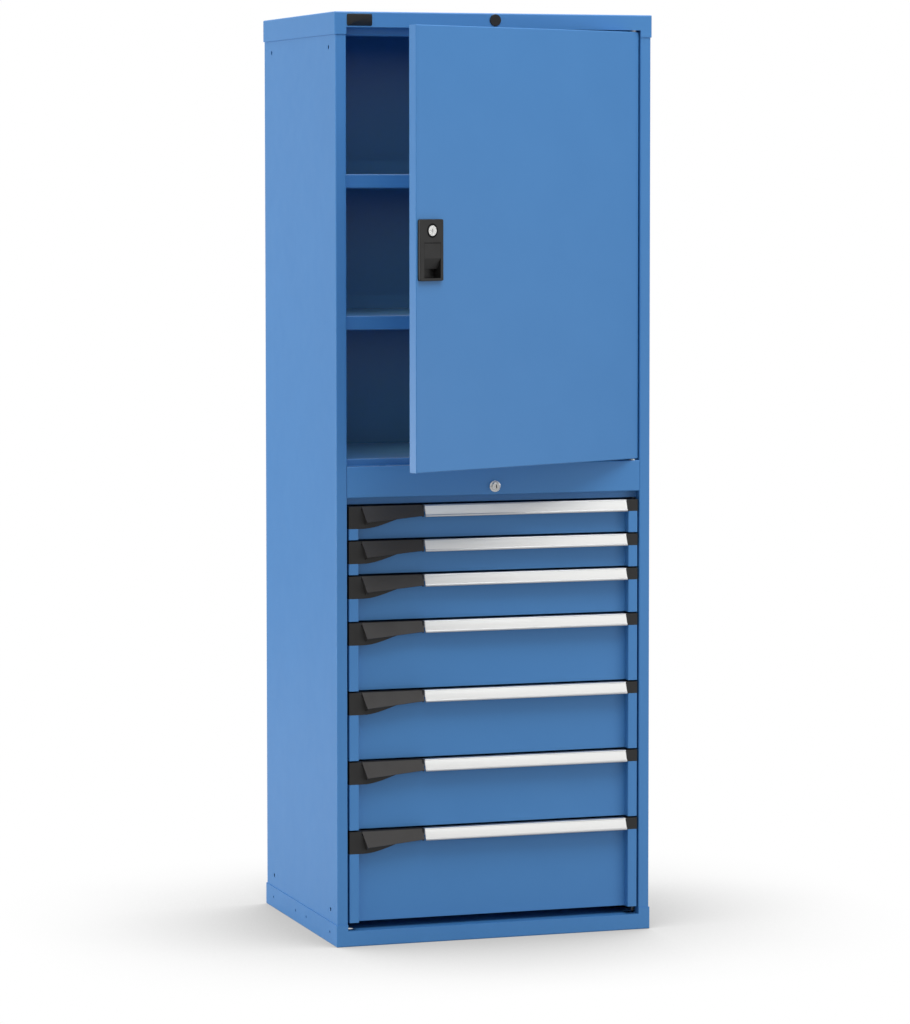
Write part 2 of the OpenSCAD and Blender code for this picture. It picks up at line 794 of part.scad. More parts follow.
module door_shell() {
  color(enamel) swung() difference() {
    intersection() {
      upright_run(door_z[0], door_z[1]) rounded_rect([-door_x, post_y], [door_x, door_back], door_edge_r);
      cross_run(-door_x, door_x) rounded_rect([post_y, door_z[0]], [door_back, door_z[1]], door_edge_r);
    }
    block([-door_x + sheet, post_y + sheet, door_z[0] + sheet],
          [door_x - sheet, door_back - sheet, door_z[1] - sheet]);
    block([-door_x + lip, post_y + sheet, door_z[0] + lip],
          [door_x - lip - 8, door_back + 1, door_z[1] - lip]);
    for (z = door_z) translate([pivot.x, pivot.y, z - 5]) cylinder(h = 10, r = pivot_r + clear);
    // Seat of the handle
    block([handle_x[0] + 3, post_y - 1, handle_z[0] + 3], [handle_x[1] - 3, post_y + sheet + 1, handle_z[1] - 3]);
    // Ways out for the locking rods
    block([rod_x - 0.5, top_rod_y - 0.5, door_z[1] - 5], [rod_x + rod_w + 0.5, top_rod_y + rod_t + 0.5, door_z[1] + 5]);
    block([rod_x - 0.5, bottom_rod_y - 0.5, door_z[0] - 5],
          [rod_x + rod_w + 0.5, bottom_rod_y + rod_t + 0.5, door_z[0] + 5]);
  }
}

module door_back_pan() {
  pan_y = door_back - 2 * sheet;
  color(enamel) swung() {
    block([-door_x + sheet, pan_y, door_z[0] + 4], [door_x - 18, pan_y + sheet, door_z[1] - 4]);
    // Hat-shaped stiffener down the middle
    upright_run(door_z[0] + 20, door_z[1] - 20) bent_free([
      [-70, pan_y - sheet], [-50, pan_y - sheet], [-40, post_y + sheet + 0.5],
      [40, post_y + sheet + 0.5], [50, pan_y - sheet], [70, pan_y - sheet]
    ]);
  }
}

// Plate with rounded corners in front view and softened front edges
module soft_plate(low, high, corner, edge) {
  intersection() {
    depth_run(low.y, high.y) rounded_rect([low.x, low.z], [high.x, high.z], corner);
    upright_run(low.z, high.z) rounded_rect([low.x, low.y], [high.x, high.y + 10], edge);
    cross_run(low.x, high.x) rounded_rect([low.y, low.z], [high.y + 10, high.z], edge);
  }
}

paddle_pin = [post_y - 5.5, cup_z[1] - 2.9];
paddle_r = 2.4;

module door_handle_housing() {
  color(black) swung() difference() {
    union() {
      soft_plate([handle_x[0], handle_y, handle_z[0]], [handle_x[1], post_y, handle_z[1]], 5, 1.5);
      block([handle_x[0] + 3, post_y, handle_z[0] + 3], [handle_x[1] - 3, cup_back, cup_z[1] + wall]);
      block([handle_x[0] + 3, post_y, cup_z[1] + wall], [handle_x[1] - 3, key_back, handle_z[1] - 3]);
    }
    block([cup_x[0], handle_y - 1, cup_z[0]], [cup_x[1], cup_back - wall, cup_z[1]]);
    bar_y(key_x, key_z, key_r + clear, handle_y - 1, key_back + 1);
    bar_y(key_x, key_z, key_r + 2, handle_y - 1, handle_y + 1.5);
    translate([cup_x[0] - 3.5, paddle_pin.x, paddle_pin.y]) rotate([0, 90, 0])
      cylinder(h = cup_x[1] - cup_x[0] + 7, r = pin_r + clear);
  }
}

module door_handle_paddle() {
  inset = 0.5;
  bend_z = 1482;
  foot = [post_y + 2.5, 1460];
  face = paddle_pin.x - paddle_r;
  color(black) swung() {
    cross_run(cup_x[0] + inset, cup_x[1] - inset) {
      bent_free([[face, paddle_pin.y], [face, bend_z], foot], paddle_r);
      translate(paddle_pin) circle(paddle_r);
    }
    translate([cup_x[0] - 3, paddle_pin.x, paddle_pin.y]) rotate([0, 90, 0])
      cylinder(h = cup_x[1] - cup_x[0] + 6, r = pin_r);
  }
}

module door_lock_plug() {
  offset_c = rod_crank * cos(45);
  color(silver) swung() difference() {
    union() {
      bar_y(key_x, key_z, key_r, handle_y - 0.5, key_back);
      bar_y(key_x, key_z, 11.5, key_back, key_back + 2.4);
      bar_y(key_x + offset_c, key_z - offset_c, cam_pin_r, key_back + 2, top_rod_y + rod_t + 0.5);
      bar_y(key_x - offset_c, key_z + offset_c, cam_pin_r, key_back + 2, bottom_rod_y + rod_t + 0.5);
    }
    block([key_x - 0.9, handle_y - 2, key_z - 4], [key_x + 0.9, handle_y + 8, key_z + 4]);
  }
}

// Flat rod with a lug at the lock. The slot in the lug takes the plug's pin.
module locking_rod(y, end_z, side) {
  offset_c = rod_crank * cos(45);
  pin = [key_x + side * offset_c, key_z - side * offset_c];
  outer = [key_x + side * rod_crank, pin.y];
  r = cam_pin_r + cam_slack + 0.1;
  left = side > 0 ? pin.x - 5 : outer.x - 5;
  depth_run(y, y + rod_t) difference() {
    union() {
      translate([left, pin.y - 4.5]) square([rod_x + rod_w - left, 9]);
      translate([rod_x, min(pin.y, end_z)]) square([rod_w, abs(end_z - pin.y)]);
    }
    slot(pin - [0.5 * side, 0], outer + [0.5 * side, 0], r);
  }
}

module door_rod_top() {
  color(zinc) swung() locking_rod(top_rod_y, door_z[1] - 0.5, 1);
}

module door_rod_bottom() {
  color(zinc) swung() locking_rod(bottom_rod_y, door_z[0] + 0.5, -1);
}

left_side_panel();
right_side_panel();
back_panel();
top_cap();
base_plinth();
divider();
door_header();
upper_shelf();
lower_shelf();
uprights();
shelf_clips();
runner_rails();
drawer_lock_barrel();
cap_hole_plug();
door_pivot_pins();
drawer_lock_plug();
lock_link();
lock_bar();
door_shell();
door_back_pan();
door_handle_housing();
door_handle_paddle();
door_lock_plug();
door_rod_top();
door_rod_bottom();
for (n = [1 : len(drawer_fronts)]) {
  tray(n);
  label_rail(n);
  handle_caps(n);
  lever(n);
  slides(n);
}
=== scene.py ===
# %% [markdown]
# # Finishing a tall tool cabinet
#
# The cabinet is folded from sheet steel: a door compartment with two shelves over seven drawers.
# Its solids come ready made at their real size. This lesson gives them their finishes, rounds the
# edges of the mouldings, and adds what is loose: a card in each drawer's label rail, the blank
# badge plate, a rubber ring round the door lock, and two small plates that close the rail over the
# drawers. Then it lights the cabinet as in a studio.

# %% Load the solids
import json
import math

import bpy
from mathutils import Matrix, Vector


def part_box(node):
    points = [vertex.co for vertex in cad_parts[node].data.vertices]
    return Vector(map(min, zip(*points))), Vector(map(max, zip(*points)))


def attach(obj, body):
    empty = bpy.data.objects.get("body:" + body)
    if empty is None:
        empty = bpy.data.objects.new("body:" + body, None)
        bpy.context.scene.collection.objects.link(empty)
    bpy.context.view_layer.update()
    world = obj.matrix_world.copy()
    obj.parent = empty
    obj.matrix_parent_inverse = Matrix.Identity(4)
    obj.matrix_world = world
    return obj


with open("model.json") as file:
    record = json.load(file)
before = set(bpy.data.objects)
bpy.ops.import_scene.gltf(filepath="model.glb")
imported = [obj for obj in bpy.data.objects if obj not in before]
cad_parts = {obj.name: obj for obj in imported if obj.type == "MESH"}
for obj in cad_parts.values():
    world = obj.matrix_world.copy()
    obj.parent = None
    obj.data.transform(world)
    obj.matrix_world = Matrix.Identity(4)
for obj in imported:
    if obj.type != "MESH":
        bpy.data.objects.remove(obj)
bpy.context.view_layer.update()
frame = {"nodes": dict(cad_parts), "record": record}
nodes = frame["nodes"]

# %% [markdown]
# ## The camera
#
# The photograph is 910 by 1024 pixels. A camera could be moved by hand until the picture fits, but
# the straight edges of a cabinet say where it stood. They were fitted to the cabinet's real size,
# which gave the camera's place and aim, its focal length in pixels, and the pixel that the optical
# axis goes through. Blender wants a lens in millimetres on a 36 mm sensor, whose width lies along
# the longer side of the picture, and the axis as a shift.

# %% Camera
MM = 0.001
PHOTO_W, PHOTO_H = 910, 1024
SENSOR = 36.0
FOCAL_PX = 4107.1
AXIS_PX = (490, 440)
CAMERA_AT = Vector((-2805.9, -8661.9, 1654.2)) * MM
YAW = math.radians(18.447)
PITCH = math.radians(3.691)
FARTHEST_SEEN = 100

bpy.ops.object.camera_add(location=CAMERA_AT, rotation=(math.pi / 2 - PITCH, 0, -YAW))
camera = bpy.context.object
lens = camera.data
lens.sensor_width = SENSOR
lens.lens = FOCAL_PX * SENSOR / PHOTO_H
lens.shift_x = -(AXIS_PX[0] - PHOTO_W / 2) / PHOTO_H
lens.shift_y = (AXIS_PX[1] - PHOTO_H / 2) / PHOTO_H
lens.clip_end = FARTHEST_SEEN
bpy.context.scene.camera = camera
print(f"lens {lens.lens:.1f} mm, shift {lens.shift_x:.3f}, {lens.shift_y:.3f}")

# %% [markdown]
# ## Helpers for materials
#
# Colours are written as sRGB hex values, as a colour picker gives them, and shaders want linear
# light. One function turns them over. Another adds a node: its settings are named arguments, and
# a value in `inputs` is a number for a socket, another node, or one of its outputs to link. A
# pattern's scale is worked out from a size in millimetres. Noise crowds round a half, and nearly
# all of it lies between 0.3 and 0.7, so that is the range a Map Range node starts from.

# %% Colour and node helpers
MOST_NOISE = {"From Min": 0.3, "From Max": 0.7}
# where a Mix node keeps its two colours and the mixed one
COLOUR_A, COLOUR_B, MIXED = 6, 7, 2


def linear(code):
    """Linear red, green, blue and alpha of an sRGB hex colour."""
    channels = [int(code[i : i + 2], 16) / 255 for i in (1, 3, 5)]
    return [c / 12.92 if c <= 0.04045 else ((c + 0.055) / 1.055) ** 2.4 for c in channels] + [1.0]


def per(size_mm):
    """The scale that makes a pattern's blobs about size_mm across."""
    return 1 / (size_mm * MM)


def add_node(tree, kind, inputs=None, **settings):
    """Add a shader node, set its properties, and set or link its sockets."""
    node = tree.nodes.new("ShaderNode" + kind)
    for name, value in settings.items():
        setattr(node, name, value)
    for socket, value in (inputs or {}).items():
        if isinstance(value, bpy.types.Node):
            value = value.outputs[0]
        if isinstance(value, bpy.types.NodeSocket):
            tree.links.new(value, node.inputs[socket])
        else:
            node.inputs[socket].default_value = value
    return node


def start_material(name):
    """An empty node material and its tree, with the object's own coordinates in metres."""
    material = bpy.data.materials.new(name)
    material.use_nodes = True
    tree = material.node_tree
    tree.nodes.clear()
    place = add_node(tree, "TexCoord").outputs["Object"]
    return material, tree, place


print(f"sRGB #808080 is {linear('#808080')[0]:.3f} in linear light")

# %% [markdown]
# ## Powder-coated steel
#
# All the sheet metal is powder coated. The powder melts into a skin about 0.08 mm thick with a
# faint orange peel, a satin gloss, and a colour that is even to the eye. The real peel is 1 to
# 2 mm across, finer than a pixel here, so it is drawn 3.5 mm across to show in the highlights at
# all. It is only a bump, since modelling it would take millions of faces. A second noise, as broad
# as a hand, moves the tone by a hair, as the coat's thickness does, and a third moves the gloss.

# %% Powder coat
BLUE_THIN = "#407EBB"
BLUE_THICK = "#4280BD"


def powder_coat():
    material, tree, place = start_material("powder_coat_blue")
    thickness = add_node(tree, "TexNoise", {"Vector": place, "Scale": per(120), "Detail": 4.0})
    tone = add_node(tree, "MapRange", {"Value": thickness, **MOST_NOISE})
    colour = add_node(
        tree,
        "Mix",
        {"Factor": tone, COLOUR_A: linear(BLUE_THIN), COLOUR_B: linear(BLUE_THICK)},
        data_type="RGBA",
    )
    melt = add_node(tree, "TexNoise", {"Vector": place, "Scale": per(40), "Detail": 2.0})
    gloss = add_node(
        tree, "MapRange", {"Value": melt, **MOST_NOISE, "To Min": 0.415, "To Max": 0.445}
    )
    peel = add_node(tree, "TexNoise", {"Vector": place, "Scale": per(3.5), "Detail": 1.0})
    relief = add_node(tree, "Bump", {"Height": peel, "Distance": 0.05 * MM, "Strength": 0.35})
    shader = add_node(
        tree,
        "BsdfPrincipled",
        {"Base Color": colour.outputs[MIXED], "Roughness": gloss, "IOR": 1.5, "Normal": relief},
    )
    add_node(tree, "OutputMaterial", {"Surface": shader})
    return material


coated_blue = powder_coat()
print("made", coated_blue.name)

# %% [markdown]
# ## Zinc-plated steel
#
# The slotted uprights, the shelf clips, the runners and the lock's rods are plated with zinc. It
# is a dull, bluish metal. Rolling leaves faint lines along the sheet and the plating clouds it in
# patches of a few centimetres, so the roughness changes more than the colour does. The lines are
# ordinary noise, stretched by a Mapping node: that is simpler than a wave pattern, and less even.

# %% Zinc plating


def zinc_plate():
    material, tree, place = start_material("zinc_plated_steel")
    cloud = add_node(tree, "TexNoise", {"Vector": place, "Scale": per(25), "Detail": 4.0})
    colour = add_node(
        tree,
        "Mix",
        {"Factor": cloud, COLOUR_A: linear("#A9AEB2"), COLOUR_B: linear("#C4C8CA")},
        data_type="RGBA",
    )
    gloss = add_node(
        tree, "MapRange", {"Value": cloud, **MOST_NOISE, "To Min": 0.32, "To Max": 0.5}
    )
    rolling = add_node(tree, "Mapping", {"Vector": place, "Scale": (1.0, 0.02, 0.02)})
    lines = add_node(tree, "TexNoise", {"Vector": rolling, "Scale": per(1.5), "Detail": 3.0})
    relief = add_node(tree, "Bump", {"Height": lines, "Distance": 0.02 * MM, "Strength": 0.4})
    shader = add_node(
        tree,
        "BsdfPrincipled",
        {
            "Base Color": colour.outputs[MIXED],
            "Metallic": 1.0,
            "Roughness": gloss,
            "Normal": relief,
        },
    )
    add_node(tree, "OutputMaterial", {"Surface": shader})
    return material


plated_zinc = zinc_plate()
print("made", plated_zinc.name)

# %% [markdown]
# ## Moulded plastic
#
# The handles are moulded in polyamide with a fine spark-eroded grain of about half a millimetre.
# It scatters the light. A cell pattern gives such a grain better than noise does, and it is drawn
# 1.2 mm across so that it shows close up. The housings are black, and the levers are the same
# plastic painted a lighter, warm charcoal: painted light, standing in for the light that their
# upward-leaning faces catch. So one function makes both plastics.

# %% Moulded plastic


def moulded_plastic(name, dark, light):
    material, tree, place = start_material(name)
    tone = add_node(tree, "TexNoise", {"Vector": place, "Scale": per(30), "Detail": 3.0})
    colour = add_node(
        tree,
        "Mix",
        {"Factor": tone, COLOUR_A: linear(dark), COLOUR_B: linear(light)},
        data_type="RGBA",
    )
    gloss = add_node(tree, "MapRange", {"Value": tone, **MOST_NOISE, "To Min": 0.5, "To Max": 0.6})
    grain = add_node(tree, "TexVoronoi", {"Vector": place, "Scale": per(1.2)})
    relief = add_node(tree, "Bump", {"Height": grain, "Distance": 0.05 * MM, "Strength": 0.3})
    shader = add_node(
        tree,
        "BsdfPrincipled",
        {"Base Color": colour.outputs[MIXED], "Roughness": gloss, "IOR": 1.53, "Normal": relief},
    )
    add_node(tree, "OutputMaterial", {"Surface": shader})
    return material


housing_black = moulded_plastic("moulded_black_plastic", "#131212", "#191817")
# painted light: the levers' lighter plastic stands in for the light their upward-leaning faces
# catch
lever_painted_lighter = moulded_plastic("moulded_plastic_painted_lighter", "#262423", "#2D2A29")
print("made", housing_black.name, "and", lever_painted_lighter.name)

# %% [markdown]
# ## Polished plastic
#
# The plug in the cap and the badge plate come from a polished mould, so they are smooth and glossy
# and look blacker than the grained parts. The housings' plastic with less roughness would still
# show its grain, so this is a material of its own, in which only a slow ripple from the mould's
# flow shows.

# %% Polished black plastic


def polished_plastic():
    material, tree, place = start_material("polished_black_plastic")
    flow = add_node(tree, "TexNoise", {"Vector": place, "Scale": per(12), "Detail": 2.0})
    colour = add_node(
        tree,
        "Mix",
        {"Factor": flow, COLOUR_A: linear("#111112"), COLOUR_B: linear("#171718")},
        data_type="RGBA",
    )
    gloss = add_node(
        tree, "MapRange", {"Value": flow, **MOST_NOISE, "To Min": 0.2, "To Max": 0.26}
    )
    relief = add_node(tree, "Bump", {"Height": flow, "Distance": 0.1 * MM, "Strength": 0.3})
    shader = add_node(
        tree,
        "BsdfPrincipled",
        {"Base Color": colour.outputs[MIXED], "Roughness": gloss, "IOR": 1.53, "Normal": relief},
    )
    add_node(tree, "OutputMaterial", {"Surface": shader})
    return material


polished_black = polished_plastic()
print("made", polished_black.name)

# %% [markdown]
# ## Anodised aluminium
#
# Each drawer's label rail is an extruded profile, anodised to a pale satin. Extrusion leaves fine
# lines along its length, here X. A metal shader with much anisotropy would blur the highlight the
# same way, but the lines also change the tone a little, so they are drawn: noise, stretched along
# X, moves the colour, the roughness and the bump together.

# %% Anodised aluminium


def anodised_aluminium():
    material, tree, place = start_material("anodised_aluminium")
    drawn_out = add_node(tree, "Mapping", {"Vector": place, "Scale": (0.01, 1.0, 1.0)})
    lines = add_node(tree, "TexNoise", {"Vector": drawn_out, "Scale": per(1.2), "Detail": 4.0})
    colour = add_node(
        tree,
        "Mix",
        {"Factor": lines, COLOUR_A: linear("#C9CACB"), COLOUR_B: linear("#D8D9DA")},
        data_type="RGBA",
    )
    gloss = add_node(
        tree, "MapRange", {"Value": lines, **MOST_NOISE, "To Min": 0.34, "To Max": 0.44}
    )
    relief = add_node(tree, "Bump", {"Height": lines, "Distance": 0.02 * MM, "Strength": 0.3})
    shader = add_node(
        tree,
        "BsdfPrincipled",
        {
            "Base Color": colour.outputs[MIXED],
            "Metallic": 1.0,
            "Roughness": gloss,
            "Normal": relief,
        },
    )
    add_node(tree, "OutputMaterial", {"Surface": shader})
    return material


rail_aluminium = anodised_aluminium()
print("made", rail_aluminium.name)

# %% [markdown]
# ## Label card
#
# A white card slides into each rail, blank for the owner's labels. Card has a slight tooth, and
# the clear film it is laminated with gives a smooth gloss. The film could be a second thin block,
# but a coat on the shader is that very thing: a clear layer with its own gloss over a dull base.

# %% Label card under film


def label_card():
    material, tree, place = start_material("white_card_under_film")
    tooth = add_node(tree, "TexNoise", {"Vector": place, "Scale": per(1.5), "Detail": 3.0})
    colour = add_node(
        tree,
        "Mix",
        {"Factor": tooth, COLOUR_A: linear("#E8E8E6"), COLOUR_B: linear("#EEEEEC")},
        data_type="RGBA",
    )
    shader = add_node(
        tree,
        "BsdfPrincipled",
        {
            "Base Color": colour.outputs[MIXED],
            "Roughness": 0.55,
            "IOR": 1.46,
            "Coat Weight": 0.4,
            "Coat Roughness": 0.2,
        },
    )
    add_node(tree, "OutputMaterial", {"Surface": shader})
    return material


label_white = label_card()
print("made", label_white.name)

# %% [markdown]
# ## Nickel-plated lock parts
#
# The lock cylinders are turned and plated with bright nickel. The turning marks run in rings round
# each cylinder, but the cylinders are so small in the picture that rings and an even noise look
# the same, and the noise needs no centre. It breaks up the gloss just enough.

# %% Bright nickel


def bright_nickel():
    material, tree, place = start_material("bright_nickel")
    marks = add_node(tree, "TexNoise", {"Vector": place, "Scale": per(1.5), "Detail": 2.0})
    gloss = add_node(
        tree, "MapRange", {"Value": marks, **MOST_NOISE, "To Min": 0.2, "To Max": 0.34}
    )
    relief = add_node(tree, "Bump", {"Height": marks, "Distance": 0.05 * MM, "Strength": 0.3})
    shader = add_node(
        tree,
        "BsdfPrincipled",
        {"Base Color": linear("#E9E9E7"), "Metallic": 1.0, "Roughness": gloss, "Normal": relief},
    )
    add_node(tree, "OutputMaterial", {"Surface": shader})
    return material


lock_nickel = bright_nickel()
print("made", lock_nickel.name)

# %% [markdown]
# ## Dressing the solids
#
# The finishes could be set solid by solid, but each solid already names its own in the record, so
# they are handed out by that slot. The drawers' levers and the plug in the cap share the housings'
# slot and then get the two special plastics: the levers the lighter one, which is painted light,
# and the plug the polished one.

# %% Hand out the materials
FINISHES = {
    "blue_enamel": coated_blue,
    "zinc_steel": plated_zinc,
    "black_plastic": housing_black,
    "aluminium_rail": rail_aluminium,
    "lock_chrome": lock_nickel,
}
DRAWERS = range(1, 8)


def dress(name, material):
    mesh = nodes[name].data
    mesh.materials.clear()
    mesh.materials.append(material)


for part in frame["record"]["subparts"]:
    dress(part["node"], FINISHES[part["material_slot"]])
for n in DRAWERS:
    # painted light: the levers get the lighter plastic for the light their faces catch
    dress(f"drawer_{n}_lever", lever_painted_lighter)
dress("cap_hole_plug", polished_black)
print("finishes:", ", ".join(FINISHES))

# %% [markdown]
# ## Softened edges
#
# A moulded edge is never sharp: it has a radius of half a millimetre or so, and catches a line of
# light. The edges could be picked and bevelled by hand on every solid. Two modifiers do it for all
# of them: the solids come as loose triangles, so a Weld joins them first, and a Bevel limited by
# angle then rounds only the real edges.

# %% Round the moulded edges
SHARP = math.radians(35)


def soften(name, width_mm):
    """Round the sharp edges of a solid with live modifiers."""
    node = nodes[name]
    weld = node.modifiers.new("weld", "WELD")
    weld.merge_threshold = 0.01 * MM
    bevel = node.modifiers.new("round_edges", "BEVEL")
    bevel.width = width_mm * MM
    bevel.segments = 2
    bevel.limit_method = "ANGLE"
    bevel.angle_limit = SHARP
    bevel.harden_normals = True


for n in DRAWERS:
    soften(f"drawer_{n}_lever", 0.7)
    soften(f"drawer_{n}_handle_caps", 0.6)
soften("door_handle_housing", 0.8)
soften("door_handle_paddle", 0.6)
print("softened", 2 * len(DRAWERS) + 2, "moulded solids")

# %% [markdown]
# ## Modelling helpers
#
# The new pieces start as a block or a torus and are shaped with operators. Operators act on all
# that is selected, so everything is deselected before a primitive is added, and edges are then
# picked in code by where they lie. A finished piece has its place in its mesh: its object sits at
# the origin, unturned. Each piece rides on the body of the solid that carries it.

# %% Modelling helpers
BODY_OF = {
    solid: body
    for body, solids in frame["record"]["behaviour"]["bodies"].items()
    for solid in solids
}


def fresh():
    """Leave edit mode and select nothing."""
    if bpy.context.object and bpy.context.object.mode != "OBJECT":
        bpy.ops.object.mode_set(mode="OBJECT")
    bpy.ops.object.select_all(action="DESELECT")


def new_block(name, centre, size):
    """A cube of a given size, with its size and place applied to its mesh."""
    fresh()
    bpy.ops.mesh.primitive_cube_add(size=1, location=centre, scale=size)
    piece = bpy.context.object
    piece.name = name
    bpy.ops.object.transform_apply(location=True, rotation=True, scale=True)
    return piece


def pick_edges(piece, wanted):
    """Go into edit mode with the edges selected whose two ends wanted() accepts."""
    bpy.ops.object.mode_set(mode="EDIT")
    bpy.ops.mesh.select_all(action="DESELECT")
    bpy.ops.object.mode_set(mode="OBJECT")
    for edge in piece.data.edges:
        a, b = (piece.data.vertices[v].co for v in edge.vertices)
        edge.select = wanted(a, b)
    bpy.ops.object.mode_set(mode="EDIT")
    bpy.ops.mesh.select_mode(type="EDGE")


def round_edges(width, segments):
    """Bevel what is selected and leave edit mode."""
    bpy.ops.mesh.bevel(offset=width, segments=segments, profile=0.5, affect="EDGES")
    bpy.ops.object.mode_set(mode="OBJECT")


def finish_piece(piece, material, body):
    """Give a piece its material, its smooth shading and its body."""
    fresh()
    bpy.context.view_layer.objects.active = piece
    piece.select_set(True)
    bpy.ops.object.transform_apply(location=True, rotation=True, scale=True)
    bpy.ops.object.shade_smooth_by_angle(angle=SHARP)
    piece.data.materials.clear()
    piece.data.materials.append(material)
    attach(piece, body)
    piece.select_set(False)


print(len(BODY_OF), "solids can carry a piece")

# %% [markdown]
# ## The label cards
#
# The front of each rail leans out at the foot by 24 degrees and has a slot 0.8 mm wide behind two
# narrow lips. The card is a flat block with rounded long edges that lies in the slot. It is easier
# to draw upright, so it is turned to the slope afterwards, about the rail's upper front edge. One
# card is modelled, and the other six are copies, each with its own mesh, moved down to their own
# rails, because all seven rails are cut from one profile.

# %% Label cards
TILT = math.radians(24)
POST_FRONT = -284 * MM
# from the rail's front inwards, and from its upper edge down
CARD_DEPTH = (0.62 * MM, 1.32 * MM)
CARD_DOWN = (1.0 * MM, 22.9 * MM)
CARD_END_GAP = 0.8 * MM
CARD_ROUND = 0.2 * MM
LONG_EDGE = 0.1


def rail_edge(n):
    """The rail's left and right ends, and the height of its upper front edge."""
    low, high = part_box(f"drawer_{n}_label_rail")
    return low.x, high.x, high.z


def card(name, left, right, top):
    """The card of the rail whose upper front edge is at the height top."""
    thickness = CARD_DEPTH[1] - CARD_DEPTH[0]
    size = (right - left - 2 * CARD_END_GAP, thickness, CARD_DOWN[1] - CARD_DOWN[0])
    centre = ((left + right) / 2, POST_FRONT + sum(CARD_DEPTH) / 2, top - sum(CARD_DOWN) / 2)
    piece = new_block(name, centre, size)
    pick_edges(piece, lambda a, b: abs(a.x - b.x) > LONG_EDGE and max(a.y, b.y) < centre[1])
    round_edges(CARD_ROUND, 2)
    hinge = Vector((0, POST_FRONT, top))
    lean = Matrix.Translation(hinge) @ Matrix.Rotation(-TILT, 4, "X") @ Matrix.Translation(-hinge)
    piece.data.transform(lean)
    return piece


cards = [card("drawer_1_label_card", *rail_edge(1))]
for n in DRAWERS[1:]:
    piece = cards[0].copy()
    piece.data = cards[0].data.copy()
    piece.name = f"drawer_{n}_label_card"
    piece.data.transform(Matrix.Translation((0, 0, rail_edge(n)[2] - rail_edge(1)[2])))
    bpy.context.collection.objects.link(piece)
    cards.append(piece)
for n, piece in zip(DRAWERS, cards):
    finish_piece(piece, label_white, BODY_OF[f"drawer_{n}_tray"])
print("label cards, rails' tops at", [round(rail_edge(n)[2] / MM) for n in DRAWERS], "mm")

# %% [markdown]
# ## The badge plate
#
# A small black plate sits at the left end of the cap's front, and here it stays blank. It could be
# cut from a flat outline, but a block is quicker: its four corners are rounded first, then the rim
# of its front, which catches the light.

# %% Badge plate
CAP_FRONT = -286 * MM
BADGE_AT = Vector((-303.5, 0, 1982.5)) * MM
BADGE_SIZE = (56 * MM, 1.4 * MM, 25 * MM)
BADGE_CORNER = 3.5 * MM
BADGE_RIM = 0.5 * MM


def badge_plate():
    centre = BADGE_AT + Vector((0, CAP_FRONT - BADGE_SIZE[1] / 2, 0))
    plate = new_block("badge_plate", centre, BADGE_SIZE)
    pick_edges(plate, lambda a, b: abs(a.y - b.y) > BADGE_SIZE[1] / 2)
    round_edges(BADGE_CORNER, 6)
    pick_edges(plate, lambda a, b: max(a.y, b.y) < centre.y)
    round_edges(BADGE_RIM, 3)
    finish_piece(plate, polished_black, BODY_OF["top_cap"])
    return plate


print("badge plate", [round(v / MM) for v in badge_plate().dimensions], "mm")

# %% [markdown]
# ## The ring round the door lock
#
# The lock cylinder sits in a shallow round seat in the handle housing, with a flat black rubber
# ring round it that keeps the dust out. Rubber is dull and very dark, so its mirror level is
# lowered too. The ring could be spun from a small profile, but a torus has that shape already and
# only needs to be flattened. The solids stand with the door open, so the ring is made on the shut
# door and then swung about the door's pivot by the same angle.

# %% Rubber ring
DOOR_OPEN = math.radians(25.2)
PIVOT = Vector((318.5, -276, 0)) * MM
LOCK_SEAT = Vector((-290.1, -292.1, 1539.4)) * MM
RING_RADIUS = 13.1 * MM
RING_THICKNESS = 2.0 * MM
RING_FLAT = 0.3


def black_rubber():
    material, tree, place = start_material("black_rubber")
    dust = add_node(tree, "TexNoise", {"Vector": place, "Scale": per(4), "Detail": 3.0})
    colour = add_node(
        tree,
        "Mix",
        {"Factor": dust, COLOUR_A: linear("#040404"), COLOUR_B: linear("#090909")},
        data_type="RGBA",
    )
    gloss = add_node(tree, "MapRange", {"Value": dust, **MOST_NOISE, "To Min": 0.7, "To Max": 0.8})
    shader = add_node(
        tree,
        "BsdfPrincipled",
        {
            "Base Color": colour.outputs[MIXED],
            "Roughness": gloss,
            "IOR": 1.52,
            "Specular IOR Level": 0.2,
        },
    )
    add_node(tree, "OutputMaterial", {"Surface": shader})
    return material


def lock_ring():
    fresh()
    bpy.ops.mesh.primitive_torus_add(
        location=LOCK_SEAT,
        rotation=(math.pi / 2, 0, 0),
        major_radius=RING_RADIUS,
        minor_radius=RING_THICKNESS,
        major_segments=48,
        minor_segments=10,
    )
    ring = bpy.context.object
    ring.name = "door_lock_ring"
    bpy.ops.object.transform_apply(location=True, rotation=True, scale=True)
    bpy.ops.object.mode_set(mode="EDIT")
    bpy.ops.mesh.select_all(action="SELECT")
    bpy.ops.transform.resize(value=(1, RING_FLAT, 1), center_override=LOCK_SEAT)
    bpy.ops.object.mode_set(mode="OBJECT")
    swing = Matrix.Rotation(DOOR_OPEN, 4, "Z")
    ring.data.transform(Matrix.Translation(PIVOT) @ swing @ Matrix.Translation(-PIVOT))
    finish_piece(ring, black_rubber(), BODY_OF["door_handle_housing"])
    return ring


print("lock ring", [round(v / MM, 1) for v in lock_ring().dimensions], "mm")

# %% [markdown]
# ## The ends of the recessed rail
#
# Over the top drawer the middle rail folds back 20 mm and down again, a dark recess across the
# front. The upright wall of its solid stops 24 mm short of each post, and on the real cabinet the
# recess runs on to the posts. A small folded plate under the ledge closes each gap. Bending a
# sheet with a modifier needs many cuts, and this fold is simple: a flat block is cut across where
# it bends, its rear part is extruded down, and the bend's inner corner is rounded.

